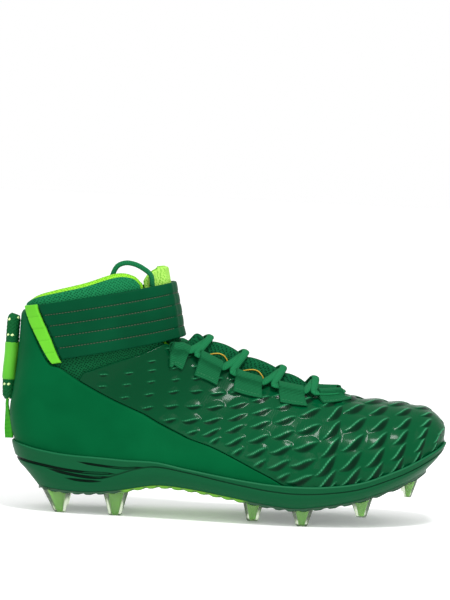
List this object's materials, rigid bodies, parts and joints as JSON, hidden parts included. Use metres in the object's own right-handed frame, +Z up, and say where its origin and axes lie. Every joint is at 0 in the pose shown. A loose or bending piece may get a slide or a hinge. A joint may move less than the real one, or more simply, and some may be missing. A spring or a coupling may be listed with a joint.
{
  "type": "sneaker",
  "caption": "Right mid-top field sneaker with moulded studs, an ankle strap, a laced tongue and a rope pull at the heel.",
  "frame": {"origin": "on the ground under the middle of the whole shoe's bounding box", "axes": "+X from the heel towards the toe, +Y towards the medial (inner) side, +Z up"},
  "size_m": [0.307, 0.1086, 0.1735],
  "materials": {
    "sole": "moulded satin plastic",
    "studs": "clear glossy moulding over a bright core",
    "lining": "soft knitted lining",
    "mesh": "fine open knit",
    "skin": "glossy moulded film with raised scales",
    "quarter": "smooth satin film",
    "tongue": "padded knit",
    "strap": "coated synthetic with stitched channels",
    "tape": "bright satin tape",
    "lace": "woven cord and webbing",
    "rope": "braided cord"
  },
  "bodies": {
    "root": {"sole_tray": "sole", "stud_plate": "studs", "insole": "lining", "upper": "mesh", "forefoot_skin": "skin", "quarter_panel": "quarter", "tongue": "tongue", "ankle_strap": "strap", "strap_tape": "tape", "keeper_lateral_1": "lace", "keeper_medial_1": "lace", "keeper_lateral_2": "lace", "keeper_medial_2": "lace", "keeper_lateral_3": "lace", "keeper_medial_3": "lace", "keeper_lateral_4": "lace", "keeper_medial_4": "lace", "keeper_lateral_5": "lace", "keeper_medial_5": "lace", "lace_crossing_1": "lace", "lace_crossing_2": "lace", "lace_crossing_3": "lace", "lace_crossing_4": "lace", "lace_loop": "lace", "heel_rope": "rope", "rope_sleeve": "tape", "heel_ribbon": "tape"}
  },
  "joints": []
}
